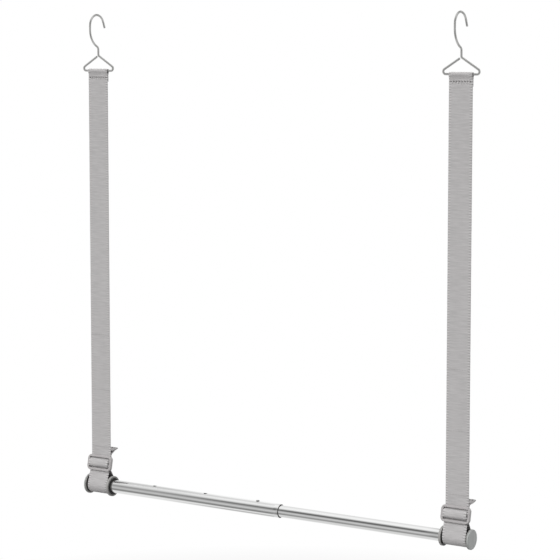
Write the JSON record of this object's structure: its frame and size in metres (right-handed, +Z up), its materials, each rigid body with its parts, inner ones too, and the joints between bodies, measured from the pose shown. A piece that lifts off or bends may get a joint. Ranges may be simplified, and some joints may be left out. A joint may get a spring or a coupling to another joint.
{
  "type": "hanging closet rod",
  "caption": "Hanging closet rod: a telescopic chrome tube carried in webbing straps with slide buckles, hung from bent wire hooks over an existing rod.",
  "frame": {"origin": "top of the inside of the left hook's crown, where the closet's own rod bears", "axes": "+X along the rod to the right, +Y to the back, towards the hooks' free ends, +Z up"},
  "size_m": [0.7384, 0.0431, 0.8078],
  "materials": {
    "plated_wire": "bright plated steel wire",
    "webbing": "flat woven grey webbing",
    "thread": "grey sewing thread",
    "grey_plastic": "satin moulded grey plastic",
    "cap_plastic": "satin moulded darker grey plastic",
    "dark_plastic": "matt dark plastic",
    "chrome": "polished chrome plate",
    "button_steel": "plated steel",
    "spring_steel": "bare spring steel"
  },
  "bodies": {
    "left_hook": {"left_hook": "plated_wire"},
    "left_strap": {"left_strap_web": "webbing", "left_hem_stitch": "thread"},
    "left_slider": {"left_buckle": "grey_plastic", "left_strap_loop": "webbing", "left_tail_stitch": "thread"},
    "outer_rod": {"outer_tube": "chrome", "left_spool": "grey_plastic", "left_end_cap": "cap_plastic", "left_socket_ring": "dark_plastic"},
    "inner_rod": {"inner_tube": "chrome", "right_spool": "grey_plastic", "right_end_cap": "cap_plastic", "right_socket_ring": "dark_plastic", "button_spring": "spring_steel"},
    "lock_button": {"lock_button": "button_steel"},
    "right_slider": {"right_buckle": "grey_plastic", "right_strap_loop": "webbing", "right_tail_stitch": "thread"},
    "right_strap": {"right_strap_web": "webbing", "right_hem_stitch": "thread"},
    "right_hook": {"right_hook": "plated_wire"}
  },
  "joints": [
    {"name": "left_hook_swing", "type": "hinge", "parent": "left_hook", "child": "left_strap", "pos_m": [0, 0.0033, -0.09], "axis": [1, 0, 0], "range_deg": [-90, 90]},
    {"name": "left_height", "type": "slide", "parent": "left_strap", "child": "left_slider", "axis": [0, 0, 1], "range_m": [0, 0.2], "deforming": ["left_strap_web"]},
    {"name": "left_rod_roll", "type": "hinge", "parent": "left_slider", "child": "outer_rod", "pos_m": [0, 0.0033, -0.7875], "axis": [1, 0, 0], "continuous": true},
    {"name": "rod_extend", "type": "slide", "parent": "outer_rod", "child": "inner_rod", "axis": [1, 0, 0], "range_m": [-0.286, 0], "deforming": ["lock_button"]},
    {"name": "button_press", "type": "slide", "parent": "inner_rod", "child": "lock_button", "axis": [0, 0, -1], "range_m": [0, 0.003], "stiffness_N_per_m": 1000, "springref_m": -0.003, "deforming": ["button_spring"]},
    {"name": "right_rod_roll", "type": "hinge", "parent": "inner_rod", "child": "right_slider", "pos_m": [0.675, 0.0033, -0.7875], "axis": [1, 0, 0], "continuous": true},
    {"name": "right_height", "type": "slide", "parent": "right_slider", "child": "right_strap", "axis": [0, 0, 1], "range_m": [-0.2, 0], "deforming": ["right_strap_web"]},
    {"name": "right_hook_swing", "type": "hinge", "parent": "right_strap", "child": "right_hook", "pos_m": [0.675, 0.0033, -0.09], "axis": [1, 0, 0], "range_deg": [-90, 90]}
  ],
  "couplings": [
    {"joint": "right_hook_swing", "follows": "left_hook_swing", "ratio": -1},
    {"joint": "right_height", "follows": "left_height", "ratio": -1},
    {"joint": "right_rod_roll", "follows": "left_rod_roll", "ratio": -1}
  ]
}
